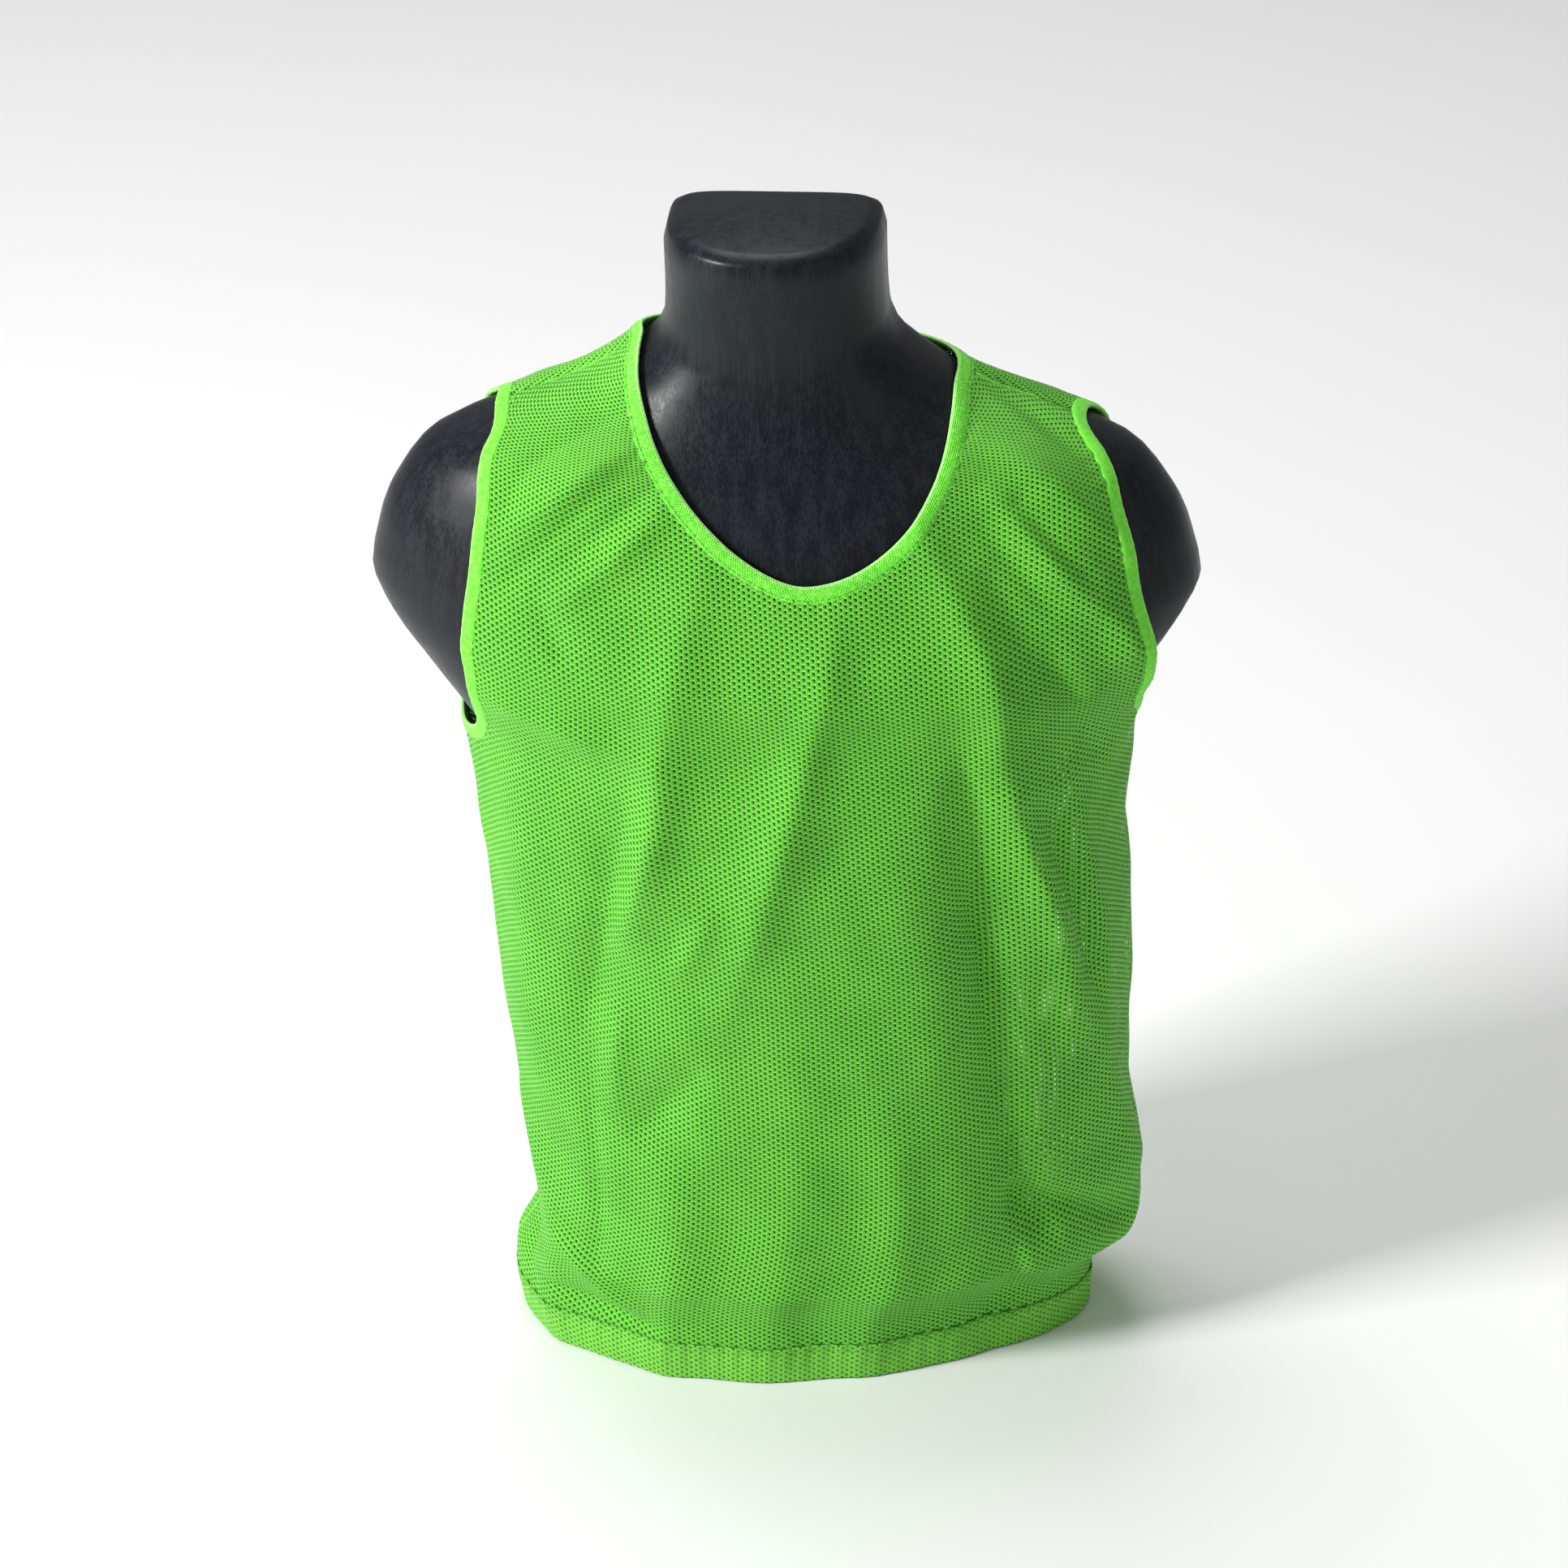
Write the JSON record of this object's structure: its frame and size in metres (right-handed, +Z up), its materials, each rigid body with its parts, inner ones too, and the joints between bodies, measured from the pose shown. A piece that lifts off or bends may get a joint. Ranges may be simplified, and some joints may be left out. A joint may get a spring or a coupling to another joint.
{
  "type": "mesh training bib on a torso dress form",
  "caption": "Sleeveless mesh training bib with a scooped neck and bound armholes, hanging loose on a limbless torso dress form with a flat foot.",
  "frame": {"origin": "middle of the dress form's flat foot, on the surface it stands on", "axes": "+Z up, -Y out of the bib's front, +X towards the viewer's right when the front is looked at"},
  "size_m": [0.472, 0.2351, 0.72],
  "materials": {
    "mesh_knit": "open mesh knit",
    "binding_knit": "dense ribbed knit",
    "form_shell": "satin"
  },
  "bodies": {
    "root": {"front_panel": "mesh_knit", "back_panel": "mesh_knit", "hem_front": "mesh_knit", "hem_back": "mesh_knit", "neck_binding": "binding_knit", "armhole_binding_left": "binding_knit", "armhole_binding_right": "binding_knit", "dress_form": "form_shell"}
  },
  "joints": []
}
